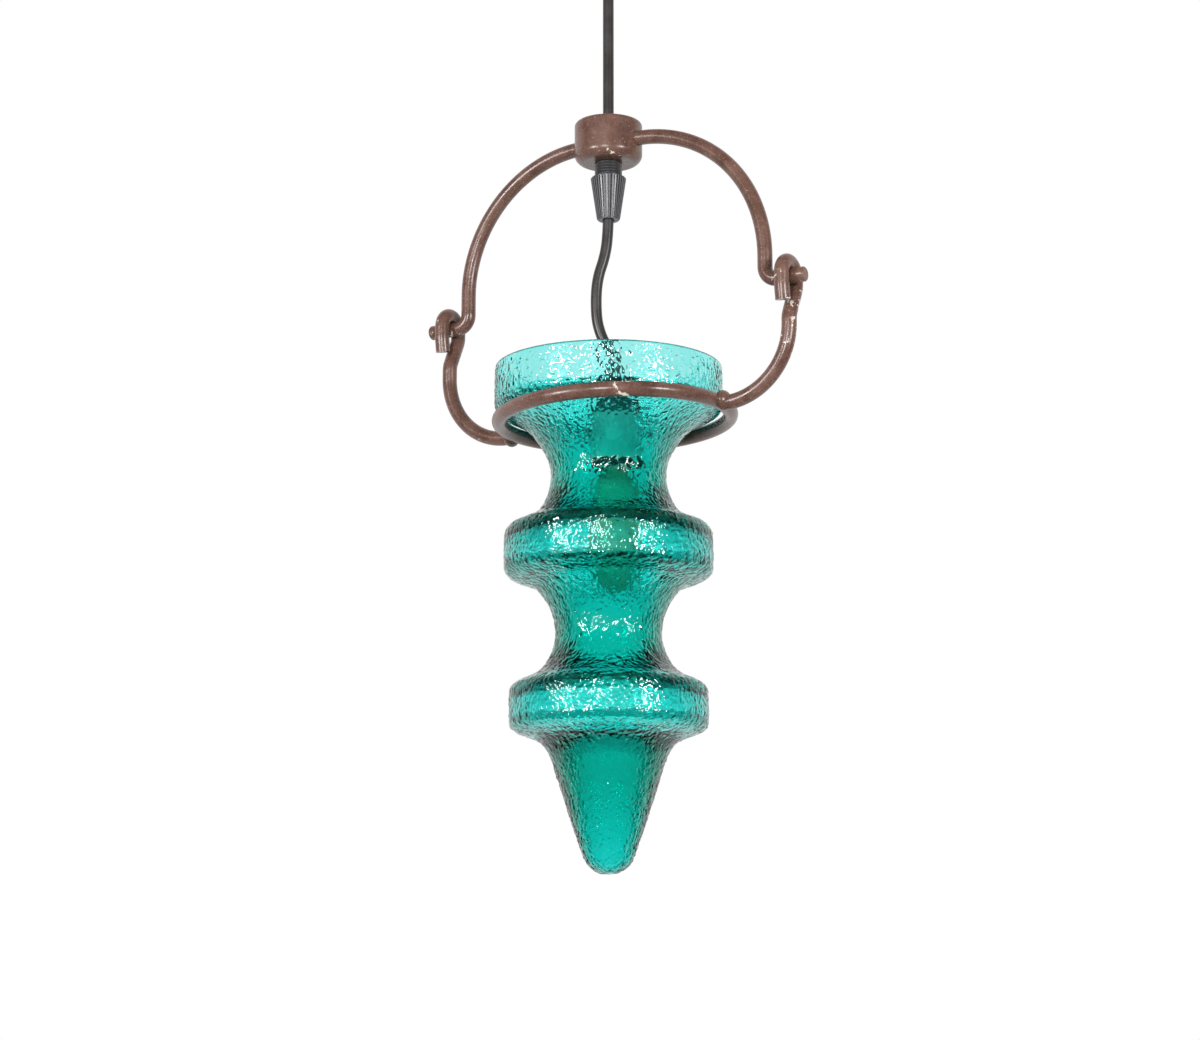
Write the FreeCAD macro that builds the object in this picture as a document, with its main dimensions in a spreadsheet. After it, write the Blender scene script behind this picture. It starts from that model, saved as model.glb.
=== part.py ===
import FreeCAD, Part
import math
import os
import Sketcher

# A glass pendant lamp: a ceiling fitting, a cord, an arched yoke, a hooked cradle and a blown
# glass shade. The row's origin is the middle of the ceiling plate's top face, +Z is up, and
# the cradle's hinge line runs along X. Everything is in millimetres.

V = FreeCAD.Vector
FULL_TURN = 360.0

# Every size of the design. Heights are measured from the hinge line, up being positive,
# except the ceiling_drop, which is how far the hinge line hangs below the ceiling.
SIZES = {
    "ceiling_drop": 246.0,
    "cord_radius": 3.0,
    "rod_radius": 4.0,
    # ceiling fitting
    "plate_radius": 42.5,
    "plate_thick": 2.5,
    "plate_hole_x": 30.0,
    "plate_hole_radius": 2.6,
    "tab_face_y": 41.5,
    "tab_thick": 2.0,
    "tab_width": 16.0,
    "tab_length": 14.5,
    "tab_screw_z": 236.0,
    "tab_bore_radius": 2.05,
    "cup_wall": 1.5,
    "cup_mouth_radius": 47.2,
    "cup_floor_z": 192.5,
    "cup_hole_radius": 11.7,
    "cup_screw_hole_radius": 2.3,
    "screw_radius": 1.95,
    "screw_head_radius": 4.2,
    "screw_head_thick": 3.0,
    "screw_reach": 35.5,
    "nose_bottom_z": 182.0,
    "nose_radius": 11.5,
    "nose_flange_radius": 15.5,
    "nose_top_z": 196.5,
    "nose_mouth_radius": 7.9,
    "nose_throat_radius": 5.5,
    "ball_z": 192.0,
    "ball_radius": 7.5,
    "seat_gap": 0.06,
    "stub_gap": 0.3,
    "block_long": 24.0,
    "block_wide": 13.0,
    "block_tall": 12.0,
    "block_screw_x": 6.0,
    "block_screw_radius": 1.8,
    # boss and cord grip
    "boss_radius": 18.5,
    "boss_bottom_z": 80.0,
    "boss_top_z": 103.0,
    "boss_low_round": 5.0,
    "boss_top_round": 2.2,
    "boss_bore_radius": 3.08,
    "boss_thread_radius": 6.75,
    "boss_thread_depth": 10.0,
    "arch_z": 91.5,
    "rod_socket_x": 12.6,
    "socket_radius": 4.02,
    "nipple_radius": 7.5,
    "nipple_groove": 0.55,
    "nipple_pitch": 1.6,
    "nipple_top_z": 89.8,
    "nipple_top_radius": 6.7,
    "nipple_low_z": 60.0,
    "nipple_low_radius": 6.5,
    "grip_bore_radius": 3.35,
    "nut_top_z": 71.8,
    "nut_low_z": 47.7,
    "nut_top_radius": 9.7,
    "nut_low_radius": 6.35,
    "nut_rib_depth": 0.55,
    "nut_inner_radius": 6.62,
    "nut_taper_z": 59.2,
    "nut_throat_z": 53.0,
    "nut_throat_radius": 4.3,
    "olive_top_z": 59.8,
    "olive_low_z": 53.6,
    "olive_top_radius": 6.1,
    "olive_low_radius": 4.15,
    "olive_bore_radius": 3.25,
    # yoke
    "arch_straight_x": 17.0,
    "leg_left_x": 90.5,
    "leg_right_x": 95.0,
    "peg_bend": 7.0,
    "peg_left_x": 115.0,
    "peg_right_x": 118.5,
    # cradle
    "ring_radius": 62.0,
    "ring_x": 4.0,
    "ring_z": -63.5,
    "ring_tilt": -2.0,
    "arm_left_x": 102.6,
    "arm_right_x": 108.6,
    "arm_left_z": -66.2,
    "arm_right_z": -63.0,
    "arm_bend": 38.0,
    "hook_radius": 8.06,
    "hook_crank_low_z": -21.0,
    "hook_crank_high_z": -4.6,
    "hook_crank_bend": 10.0,
    "hook_end_z": -14.0,
    "hook_end_y": -6.9,
    "weld_radius": 6.4,
    # lampholder and bulb, on their own axis
    "holder_x": 4.3,
    "entry_top_z": -42.0,
    "entry_floor_z": -44.5,
    "cord_end_z": -44.4,
    "entry_radius": 5.2,
    "cap_top_z": -48.0,
    "cap_radius": 13.2,
    "cap_edge_z": -57.0,
    "cap_low_z": -62.0,
    "body_radius": 13.5,
    "body_low_z": -92.0,
    "body_wall": 1.5,
    "web_top_z": -65.0,
    "web_low_z": -69.0,
    "shell_inner_radius": 6.95,
    "shell_wall": 0.45,
    "shell_low_z": -88.5,
    "contact_radius": 2.2,
    "contact_low_z": -71.6,
    "tip_radius": 2.4,
    "tip_top_z": -71.9,
    "tip_low_z": -73.4,
    "base_radius": 6.85,
    "base_top_z": -75.6,
    "base_low_z": -92.6,
    "bulb_neck_radius": 6.6,
    "bulb_radius": 13.0,
    "bulb_shoulder_z": -101.0,
    "bulb_dome_z": -143.5,
    "bulb_end_z": -156.5,
    "bulb_wall": 0.9,
    # glass
    "rim_radius": 61.1,
    "rim_wall": 2.0,
    "rim_top_z": -35.1,
}

# The blown shade's outside below the rim band, as (radius, height) pairs: each list is one
# smooth stretch, and a straight line joins the end of one list to the start of the next.
GLASS_OUTSIDE = [
    [(61.1, -56.5), (60.2, -58.9), (57.4, -60.9), (52.0, -63.4), (46.2, -66.9),
     (41.2, -71.3), (37.2, -76.6), (34.0, -82.0), (31.8, -87.5), (30.7, -93.6),
     (31.0, -98.2), (32.0, -103.0), (33.3, -107.2), (35.4, -111.4), (38.6, -115.4),
     (43.0, -118.3), (49.0, -120.6), (53.0, -122.7), (55.0, -125.6), (55.5, -128.4)],
    [(55.5, -144.4), (54.7, -147.2), (51.4, -149.7), (46.0, -151.8), (41.0, -153.6),
     (37.6, -156.2), (35.2, -159.2), (33.2, -162.2), (31.3, -165.8), (29.2, -171.6),
     (28.1, -179.6), (28.6, -184.6), (29.8, -188.9), (31.4, -192.6), (33.2, -195.8),
     (35.6, -198.8), (38.8, -201.4), (42.8, -203.5), (47.3, -205.4), (50.6, -207.4),
     (52.1, -209.8), (52.4, -212.2)],
    [(52.4, -227.0), (51.6, -229.4), (49.2, -231.3), (44.9, -233.0), (39.8, -234.9),
     (36.2, -237.1), (33.8, -239.6), (31.9, -242.5), (30.1, -246.6), (28.4, -251.7),
     (26.7, -256.9), (25.1, -262.0), (23.4, -267.3), (21.7, -272.5), (20.0, -277.7),
     (18.3, -282.9), (16.5, -288.1), (14.7, -293.3), (13.3, -297.0), (11.4, -300.4),
     (8.6, -303.3), (4.8, -305.3), (0.0, -306.0)],
]
# Its inside, from the tip up to the rim.
GLASS_INSIDE = [
    [(0.0, -303.4), (4.0, -302.4), (7.4, -299.2), (9.6, -293.8), (11.4, -286.0),
     (13.2, -278.0), (14.9, -269.6), (16.6, -260.6), (18.6, -252.0), (21.4, -244.6),
     (25.6, -239.0), (31.6, -234.9), (38.8, -232.0), (45.4, -229.4), (48.9, -226.2),
     (49.4, -223.4)],
    [(49.4, -214.6), (47.6, -210.2), (41.8, -206.6), (34.4, -203.0), (28.4, -198.6),
     (23.8, -193.0), (21.3, -187.0), (20.5, -181.0), (21.2, -175.0), (23.3, -168.6),
     (26.0, -162.6), (29.2, -157.2), (33.4, -152.4), (39.2, -149.0), (46.6, -146.8),
     (51.3, -144.4), (52.6, -141.2)],
    [(52.6, -132.0), (52.0, -128.7), (49.4, -125.6), (44.0, -122.8), (37.2, -119.4),
     (31.7, -115.2), (27.8, -110.0), (25.3, -104.6), (24.1, -99.2), (23.9, -94.0),
     (25.0, -88.4), (27.5, -82.4), (31.1, -76.4), (35.7, -70.8), (41.2, -66.0),
     (47.2, -62.2), (53.5, -59.0), (57.9, -56.8), (59.1, -54.4)],
]
# The slack cord from the grip to the lampholder, as (sideways, height) points on its route.
# It lies in an upright plane turned by SLACK_PLANE degrees from X.
SLACK_ROUTE = [(0.0, 53.0), (-0.2, 41.0), (-1.7, 28.0), (-6.0, 15.0), (-6.9, 1.0),
               (-5.8, -13.0), (0.3, -26.0), (3.7, -35.2), (3.7, -44.4)]
SLACK_PLANE = 30.5
ARC_SHARE = 0.45
NUT_RIBS = 36


class Size:
    """A number together with the sheet expression that gives it."""

    def __init__(self, value, text):
        self.value = float(value)
        self.text = text

    def _join(self, other, sign, value):
        text = other.text if isinstance(other, Size) else repr(float(other))
        return Size(value, "(%s %s %s)" % (self.text, sign, text))

    def __add__(self, other):
        return self._join(other, "+", self.value + number(other))

    def __sub__(self, other):
        return self._join(other, "-", self.value - number(other))

    def __mul__(self, other):
        return self._join(other, "*", self.value * number(other))

    def __neg__(self):
        return Size(-self.value, "(0 - %s)" % self.text)


def number(thing):
    """The plain number behind a Size or a number."""
    return thing.value if isinstance(thing, Size) else float(thing)


def size(name):
    """A named size, with its expression."""
    return Size(SIZES[name], "Sizes." + name)


def mm(name):
    """A named size as a plain number, read back from the sheet."""
    return float(sheet.get(name))


def row_z(height):
    """A height from the hinge line, as a row height below the ceiling."""
    if isinstance(height, Size):
        return height - size("ceiling_drop")
    return height - SIZES["ceiling_drop"]


def make_sheet(doc):
    """Put every size on the design's sheet under its own name."""
    table = doc.addObject("Spreadsheet::Sheet", "Sizes")
    for line, (name, value) in enumerate(SIZES.items(), start=1):
        table.set("A%d" % line, name)
        table.set("B%d" % line, repr(value))
        table.setAlias("B%d" % line, name)
    doc.recompute()
    return table


def new_body(label):
    """An empty PartDesign body for one sub-part."""
    body = doc.addObject("PartDesign::Body", label)
    body.Label = label
    nodes[label] = body
    return body


def origin_plane(body, role):
    """One of the body's own origin planes."""
    for feature in body.Origin.OriginFeatures:
        if feature.Role == role:
            return feature
    raise ValueError("no plane " + role)


def new_sketch(body, name, role, lift=None):
    """A sketch on one of the body's origin planes, moved out along its normal by lift."""
    sketch = body.newObject("Sketcher::SketchObject", name)
    sketch.AttachmentSupport = [(origin_plane(body, role), "")]
    sketch.MapMode = "FlatFace"
    if lift is not None:
        sketch.AttachmentOffset = FreeCAD.Placement(V(0, 0, number(lift)), FreeCAD.Rotation())
        if isinstance(lift, Size):
            sketch.setExpression(".AttachmentOffset.Base.z", lift.text)
    return sketch


def pin_coordinate(sketch, geometry, end, kind, wanted):
    """Tie one coordinate of a sketch point to a size."""
    value = number(wanted)
    if abs(value) < 1e-9:
        axis = -2 if kind == "DistanceX" else -1
        sketch.addConstraint(Sketcher.Constraint("PointOnObject", geometry, end, axis))
        return
    first = (-1, 1, geometry, end) if value > 0 else (geometry, end, -1, 1)
    index = sketch.addConstraint(Sketcher.Constraint(kind, *first, abs(value)))
    if isinstance(wanted, Size):
        text = wanted.text if value > 0 else "(0 - %s)" % wanted.text
        sketch.setExpression("Constraints[%d]" % index, text)


def draw_outline(sketch, corners):
    """A closed outline of straight lines with every corner tied to its sizes."""
    spots = [V(number(a), number(b), 0) for a, b in corners]
    count = len(spots)
    for index in range(count):
        sketch.addGeometry(Part.LineSegment(spots[index], spots[(index + 1) % count]), False)
    for index in range(count):
        after = (index + 1) % count
        sketch.addConstraint(Sketcher.Constraint("Coincident", index, 2, after, 1))
    for index, (a, b) in enumerate(corners):
        pin_coordinate(sketch, index, 1, "DistanceX", a)
        pin_coordinate(sketch, index, 1, "DistanceY", b)


def draw_circle(sketch, a, b, radius):
    """A circle with its centre and radius tied to sizes."""
    centre = V(number(a), number(b), 0)
    index = sketch.addGeometry(Part.Circle(centre, V(0, 0, 1), number(radius)), False)
    pin_coordinate(sketch, index, 3, "DistanceX", a)
    pin_coordinate(sketch, index, 3, "DistanceY", b)
    bound = sketch.addConstraint(Sketcher.Constraint("Radius", index, number(radius)))
    if isinstance(radius, Size):
        sketch.setExpression("Constraints[%d]" % bound, radius.text)


def revolve(body, sketch, name="Turned"):
    """Turn a sketch all the way round the body's upright axis."""
    turned = body.newObject("PartDesign::Revolution", name)
    turned.Profile = sketch
    turned.ReferenceAxis = (sketch, ["V_Axis"])
    turned.Angle = FULL_TURN
    sketch.Visibility = False
    body.Tip = turned
    return turned


def place(body, x=None, z=None):
    """Put a sub-part at its place, with the place tied to the sheet."""
    spot = V(number(x) if x is not None else 0, 0, number(z) if z is not None else 0)
    body.Placement = FreeCAD.Placement(spot, FreeCAD.Rotation())
    if isinstance(x, Size):
        body.setExpression(".Placement.Base.x", x.text)
    if isinstance(z, Size):
        body.setExpression(".Placement.Base.z", z.text)


def turned_part(label, corners, x=None):
    """A lathe-turned sub-part from (radius, height) corners, heights from the hinge line."""
    body = new_body(label)
    sketch = new_sketch(body, label + "_outline", "XZ_Plane")
    draw_outline(sketch, corners)
    revolve(body, sketch)
    place(body, x=x, z=-size("ceiling_drop"))
    doc.recompute()
    return body


def pocket_through(body, sketch, name, length, both=True, reverse=False):
    """Cut a sketch into the body, both ways unless told otherwise."""
    cut = body.newObject("PartDesign::Pocket", name)
    cut.Profile = sketch
    cut.Length = number(length)
    if isinstance(length, Size):
        cut.setExpression("Length", length.text)
    cut.Midplane = both
    cut.Reversed = reverse
    sketch.Visibility = False
    body.Tip = cut
    doc.recompute()
    return cut


def pad(body, sketch, name, length, reverse=False, both=False):
    """Pad a sketch into a solid."""
    grown = body.newObject("PartDesign::Pad", name)
    grown.Profile = sketch
    grown.Length = number(length)
    if isinstance(length, Size):
        grown.setExpression("Length", length.text)
    grown.Midplane = both
    grown.Reversed = reverse
    sketch.Visibility = False
    body.Tip = grown
    doc.recompute()
    return grown


def round_edges(body, name, radius, chosen):
    """Fillet the edges of the body's tip that chosen picks."""
    tip = body.Tip
    picked = []
    for index, edge in enumerate(tip.Shape.Edges, start=1):
        if chosen(edge):
            picked.append("Edge%d" % index)
    fillet = body.newObject("PartDesign::Fillet", name)
    fillet.Base = (tip, picked)
    fillet.Radius = number(radius)
    if isinstance(radius, Size):
        fillet.setExpression("Radius", radius.text)
    body.Tip = fillet
    doc.recompute()
    return fillet


def is_ring_edge(radius, height):
    """A test for a round edge of that radius at that height."""
    def test(edge):
        round_edge = hasattr(edge.Curve, "Radius")
        return (round_edge and abs(edge.Curve.Radius - radius) < 1e-3
                and abs(edge.BoundBox.ZMin - height) < 1e-3
                and abs(edge.BoundBox.ZMax - height) < 1e-3)
    return test


def shape_part(label, shape):
    """A sub-part whose shape is made in code from the sheet's sizes."""
    feature = doc.addObject("Part::Feature", label)
    feature.Label = label
    feature.Shape = shape
    feature.Placement = FreeCAD.Placement(V(0, 0, row_z(0.0)), FreeCAD.Rotation())
    nodes[label] = feature
    return feature


def rounded_wire(points, radii):
    """Straight runs joined by tangent arcs of the given radii, as one wire."""
    edges = []
    start = points[0]
    for index in range(1, len(points) - 1):
        before = (points[index - 1] - points[index]).normalize()
        after = (points[index + 1] - points[index]).normalize()
        turn = math.pi - before.getAngle(after)
        reach = radii[index - 1] * math.tan(turn / 2)
        first = points[index] + before * reach
        last = points[index] + after * reach
        inward = (before + after).normalize()
        centre = points[index] + inward * (radii[index - 1] / math.cos(turn / 2))
        middle = centre - inward * radii[index - 1]
        if (first - start).Length > 1e-6:
            edges.append(Part.LineSegment(start, first).toShape())
        edges.append(Part.Arc(first, middle, last).toShape())
        start = last
    if (points[-1] - start).Length > 1e-6:
        edges.append(Part.LineSegment(start, points[-1]).toShape())
    return edges


def sweep(edges, radius):
    """A round rod along a chain of edges, checked against section times length."""
    wire = Part.Wire(edges)
    first = edges[0]
    start = first.valueAt(first.FirstParameter)
    heading = first.tangentAt(first.FirstParameter)
    section = Part.Wire([Part.makeCircle(radius, start, heading)])
    solid = wire.makePipeShell([section], True, False)
    wanted = math.pi * radius ** 2 * wire.Length
    if abs(solid.Volume - wanted) > 0.01 * wanted:
        raise ValueError("a swept rod has the wrong volume")
    return solid


def route_radii(points):
    """The arc radius at each turn of a cord's route."""
    radii = []
    for index in range(1, len(points) - 1):
        before = points[index - 1] - points[index]
        after = points[index + 1] - points[index]
        half = (math.pi - before.getAngle(after)) / 2
        radii.append(ARC_SHARE * min(before.Length, after.Length) / math.tan(half))
    return radii


# ---- the ceiling fitting ----

def make_ceiling_plate():
    """A round plate with two screw holes and two tabs bent down to carry the cup."""
    body = new_body("ceiling_plate")
    disc = new_sketch(body, "plate_outline", "XY_Plane")
    draw_circle(disc, 0, 0, size("plate_radius"))
    draw_circle(disc, size("plate_hole_x"), 0, size("plate_hole_radius"))
    draw_circle(disc, -size("plate_hole_x"), 0, size("plate_hole_radius"))
    pad(body, disc, "Plate", size("plate_thick"), reverse=True)
    for side, face in ((1, "front"), (-1, "back")):
        outer = size("tab_face_y") * float(side)
        inner = (size("tab_face_y") - size("tab_thick")) * float(side)
        tab = new_sketch(body, "tab_" + face, "XY_Plane", lift=-size("plate_thick"))
        half = size("tab_width") * 0.5
        draw_outline(tab, [(-half, inner), (half, inner), (half, outer), (-half, outer)])
        pad(body, tab, "Tab_" + face, size("tab_length"), reverse=True)
    bores = new_sketch(body, "tab_bores", "XZ_Plane")
    draw_circle(bores, 0, row_z(size("tab_screw_z")), size("tab_bore_radius"))
    pocket_through(body, bores, "Tab_bores", size("plate_radius") * 3.0)


def make_ceiling_cup():
    """The thin bell that hides the ceiling fitting, open at the top."""
    wall = size("cup_wall")
    mouth = size("cup_mouth_radius")
    floor = size("cup_floor_z")
    outside = [(20.0, 0.5), (29.0, 3.4), (37.2, 9.6), (42.6, 18.6), (45.6, 31.0)]
    corners = [(size("cup_hole_radius"), floor)]
    corners += [(Size(r, repr(r)), floor + rise) for r, rise in outside]
    corners += [(mouth, size("ceiling_drop") - 0.4), (mouth - wall, size("ceiling_drop") - 0.4)]
    for r, rise in reversed(outside):
        corners.append((Size(r, repr(r)) - wall, floor + rise + wall * 0.62))
    corners.append((size("cup_hole_radius"), floor + wall))
    body = turned_part("ceiling_cup", corners)
    holes = new_sketch(body, "cup_screw_holes", "XZ_Plane")
    draw_circle(holes, 0, size("tab_screw_z"), size("cup_screw_hole_radius"))
    pocket_through(body, holes, "Cup_screw_holes", size("plate_radius") * 3.0)


def make_cup_screws():
    """Two round-headed screws that hold the cup to the plate's tabs."""
    height = mm("tab_screw_z")
    face = mm("cup_mouth_radius") + 0.15
    screws = []
    for side in (1, -1):
        length = face - mm("screw_reach")
        shank = Part.makeCylinder(mm("screw_radius"), length, V(0, side * face, height),
                                  V(0, -side, 0))
        head = Part.makeCylinder(mm("screw_head_radius"), mm("screw_head_thick"),
                                 V(0, side * face, height), V(0, side, 0))
        rim = [e for e in head.Edges if abs(abs(e.BoundBox.YMax + e.BoundBox.YMin) / 2
                                            - face - mm("screw_head_thick")) < 1e-3]
        head = head.makeFillet(mm("screw_head_thick") * 0.6, rim)
        slot = Part.makeBox(2 * mm("screw_head_radius"), 1.2, 1.0)
        low = face + mm("screw_head_thick") - 1.1
        slot.translate(V(-mm("screw_head_radius"), low if side > 0 else -low - 1.2, height - 0.5))
        screws.append(shank.fuse(head).removeSplitter().cut(slot))
    shape_part("cup_screws", Part.makeCompound(screws))


def make_cup_nose():
    """The moulded nose in the cup's bottom hole: a spherical seat and a flared mouth."""
    seat = mm("ball_radius") + mm("seat_gap")
    ball_z = mm("ball_z")
    throat = mm("nose_throat_radius")
    throat_z = ball_z - math.sqrt(seat ** 2 - throat ** 2)
    top_r = math.sqrt(seat ** 2 - (mm("nose_top_z") - ball_z) ** 2)
    sleeve = Part.Arc(V(throat, 0, throat_z), V(seat * math.cos(0.3), 0, ball_z - seat * math.sin(0.3)),
                      V(seat, 0, ball_z)).toShape()
    shoulder = mm("cup_floor_z") + mm("cup_wall") + 0.05
    low = mm("nose_bottom_z")
    points = [V(seat, 0, ball_z), V(seat, 0, mm("nose_top_z")),
              V(mm("nose_flange_radius"), 0, mm("nose_top_z")),
              V(mm("nose_flange_radius"), 0, shoulder), V(mm("nose_radius"), 0, shoulder),
              V(mm("nose_radius"), 0, low + 1.2), V(mm("nose_radius") - 1.2, 0, low),
              V(mm("nose_mouth_radius"), 0, low), V(throat, 0, throat_z)]
    if top_r <= 0:
        raise ValueError("the nose is taller than its ball")
    edges = [sleeve]
    for first, second in zip(points, points[1:]):
        edges.append(Part.LineSegment(first, second).toShape())
    face = Part.Face(Part.Wire(edges))
    shape_part("cup_nose", face.revolve(V(0, 0, 0), V(0, 0, 1), FULL_TURN))


def make_cord_ball():
    """The ball-shaped cord stop that hangs the lamp in the nose's seat."""
    ball = doc.addObject("Part::Sphere", "cord_ball")
    ball.Label = "cord_ball"
    ball.setExpression("Radius", "Sizes.ball_radius")
    ball.setExpression(".Placement.Base.z", row_z(size("ball_z")).text)
    nodes["cord_ball"] = ball


def make_supply_tail():
    """The cord's upper end, from over the ball to the terminal block."""
    low = mm("ball_z")
    top = mm("ceiling_drop") - mm("plate_thick") - mm("block_tall")
    tail = Part.makeCylinder(mm("cord_radius"), top - low, V(0, 0, low))
    hollow = Part.makeSphere(mm("ball_radius") + mm("stub_gap"), V(0, 0, low))
    shape_part("supply_tail", tail.cut(hollow))


def make_terminal_block():
    """A small moulded terminal block under the plate, with wells for its screws."""
    body = new_body("terminal_block")
    outline = new_sketch(body, "block_outline", "XY_Plane")
    half_x = size("block_long") * 0.5
    half_y = size("block_wide") * 0.5
    draw_outline(outline, [(-half_x, -half_y), (half_x, -half_y), (half_x, half_y),
                           (-half_x, half_y)])
    pad(body, outline, "Block", size("block_tall"), reverse=True)
    wells = new_sketch(body, "screw_wells", "XZ_Plane")
    for side in (-1.0, 1.0):
        draw_circle(wells, size("block_screw_x") * side, -size("block_tall") * 0.5,
                    size("block_screw_radius") + 0.15)
    pocket_through(body, wells, "Wells", size("block_wide") * 0.5 + 1.0, both=False)
    place(body, z=-size("plate_thick"))


def make_terminal_screws():
    """The two slotted screws in the terminal block's wells."""
    height = mm("ceiling_drop") - mm("plate_thick") - mm("block_tall") / 2
    wells_side = well_side()
    screws = []
    for side in (-1, 1):
        base = V(side * mm("block_screw_x"), wells_side * 1.0, height)
        screw = Part.makeCylinder(mm("block_screw_radius"), 3.6, base, V(0, wells_side, 0))
        slot = Part.makeBox(2 * mm("block_screw_radius"), 0.8, 0.7)
        y = wells_side * 4.6 - (0.8 if wells_side > 0 else 0.0)
        slot.translate(V(side * mm("block_screw_x") - mm("block_screw_radius"), y, height - 0.35))
        screws.append(screw.cut(slot))
    shape_part("terminal_screws", Part.makeCompound(screws))


def well_side():
    """Which way along Y the terminal block's wells open."""
    block = nodes["terminal_block"].Shape
    probe = V(mm("block_screw_x"), mm("block_wide") / 4, -mm("plate_thick") - mm("block_tall") / 2)
    return -1 if block.isInside(probe, 1e-4, True) else 1


# ---- the cord, the boss and the grip ----

def make_suspension_cord():
    """The straight cord from the ball stop down into the boss."""
    low = mm("arch_z") - 1.0
    high = mm("ball_z")
    cord = Part.makeCylinder(mm("cord_radius"), high - low, V(0, 0, low))
    hollow = Part.makeSphere(mm("ball_radius") + mm("seat_gap"), V(0, 0, high))
    shape_part("suspension_cord", cord.cut(hollow))


def make_boss():
    """The turned boss, bored for the cord, the nipple and the two yoke rods."""
    corners = [(size("boss_bore_radius"), size("boss_top_z")),
               (size("boss_radius"), size("boss_top_z")),
               (size("boss_radius"), size("boss_bottom_z")),
               (size("boss_thread_radius"), size("boss_bottom_z")),
               (size("boss_thread_radius"), size("boss_bottom_z") + size("boss_thread_depth")),
               (size("boss_bore_radius"), size("boss_bottom_z") + size("boss_thread_depth"))]
    body = turned_part("boss", corners)
    round_edges(body, "Low_round", size("boss_low_round"),
                is_ring_edge(mm("boss_radius"), mm("boss_bottom_z")))
    round_edges(body, "Top_round", size("boss_top_round"),
                is_ring_edge(mm("boss_radius"), mm("boss_top_z")))
    for side, name in ((1.0, "right"), (-1.0, "left")):
        socket = new_sketch(body, "socket_" + name, "YZ_Plane", lift=size("rod_socket_x") * side)
        draw_circle(socket, 0, size("arch_z"), size("socket_radius"))
        before = body.Tip.Shape.Volume
        cut = pocket_through(body, socket, "Socket_" + name, 10.0, both=False)
        if before - cut.Shape.Volume < 100 or cut.Shape.BoundBox.XLength < 30:
            cut.Reversed = True
            doc.recompute()
        depth = math.pi * mm("socket_radius") ** 2 * (mm("boss_radius") - mm("rod_socket_x"))
        lost = before - cut.Shape.Volume
        if not 0.6 * depth < lost < 1.1 * depth:
            cut.Reversed = not cut.Reversed
            doc.recompute()


def make_grip_nipple():
    """The threaded nipple that screws into the boss and carries the grip nut."""
    bore = size("grip_bore_radius")
    wide = size("nipple_radius")
    low = size("nut_top_z") + 0.3
    top = size("boss_bottom_z") - 0.05
    corners = [(bore, size("nipple_low_z")), (size("nipple_low_radius"), size("nipple_low_z")),
               (size("nipple_low_radius"), low), (wide - size("nipple_groove"), low)]
    for turn in range(5):
        step = size("nipple_pitch") * (turn + 0.5)
        corners.append((wide, low + step - 0.25))
        corners.append((wide, low + step + 0.25))
        if turn < 4:
            next_step = size("nipple_pitch") * (turn + 1.0)
            corners.append((wide - size("nipple_groove"), low + next_step))
    corners += [(wide - size("nipple_groove"), top), (size("nipple_top_radius"), top),
                (size("nipple_top_radius"), size("nipple_top_z")), (bore, size("nipple_top_z"))]
    turned_part("grip_nipple", corners)


def make_grip_nut():
    """The tapered nut, ribbed all round, that squeezes the cord."""
    bore = size("grip_bore_radius")
    low = size("nut_low_z")
    corners = [(bore, low), (size("nut_low_radius") - 0.8, low), (size("nut_low_radius"), low + 0.9),
               (size("nut_top_radius"), size("nut_top_z") - 0.7),
               (size("nut_top_radius") - 0.6, size("nut_top_z")),
               (size("nut_inner_radius"), size("nut_top_z")),
               (size("nut_inner_radius"), size("nut_taper_z")),
               (size("nut_throat_radius"), size("nut_throat_z")), (bore, size("nut_throat_z"))]
    body = turned_part("grip_nut", corners)
    groove = new_sketch(body, "rib_gap", "XY_Plane", lift=size("nut_top_z") + 1.0)
    pitch = 2 * math.pi * mm("nut_top_radius") / NUT_RIBS
    outer = size("nut_top_radius") + 1.0
    inner = size("nut_top_radius") - size("nut_rib_depth")
    half = Size(pitch * 0.26, repr(round(pitch * 0.26, 4)))
    draw_outline(groove, [(inner, -half), (outer, -half), (outer, half), (inner, half)])
    slope = math.atan((mm("nut_top_radius") - mm("nut_low_radius"))
                      / (mm("nut_top_z") - mm("nut_low_z")))
    path = new_sketch(body, "rib_path", "XZ_Plane")
    high = V(mm("nut_top_radius"), mm("nut_top_z") + 1.0, 0)
    foot = V(mm("nut_top_radius") - math.tan(slope) * (mm("nut_top_z") - mm("nut_low_z") + 4),
             mm("nut_low_z") - 3.0, 0)
    path.addGeometry(Part.LineSegment(high, foot), False)
    doc.recompute()
    cut = body.newObject("PartDesign::SubtractivePipe", "Rib_gap")
    cut.Profile = groove
    cut.Spine = path
    groove.Visibility = False
    path.Visibility = False
    body.Tip = cut
    doc.recompute()
    ribs = body.newObject("PartDesign::PolarPattern", "Ribs")
    ribs.Originals = [cut]
    ribs.Axis = (groove, ["N_Axis"])
    ribs.Angle = FULL_TURN
    ribs.Occurrences = NUT_RIBS
    body.Tip = ribs
    doc.recompute()


def make_grip_olive():
    """The soft cone inside the nut that grips the cord."""
    corners = [(size("olive_bore_radius"), size("olive_low_z")),
               (size("olive_low_radius"), size("olive_low_z")),
               (size("olive_top_radius"), size("olive_top_z") - 0.8),
               (size("olive_top_radius"), size("olive_top_z")),
               (size("olive_bore_radius"), size("olive_top_z"))]
    turned_part("grip_olive", corners)


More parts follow.
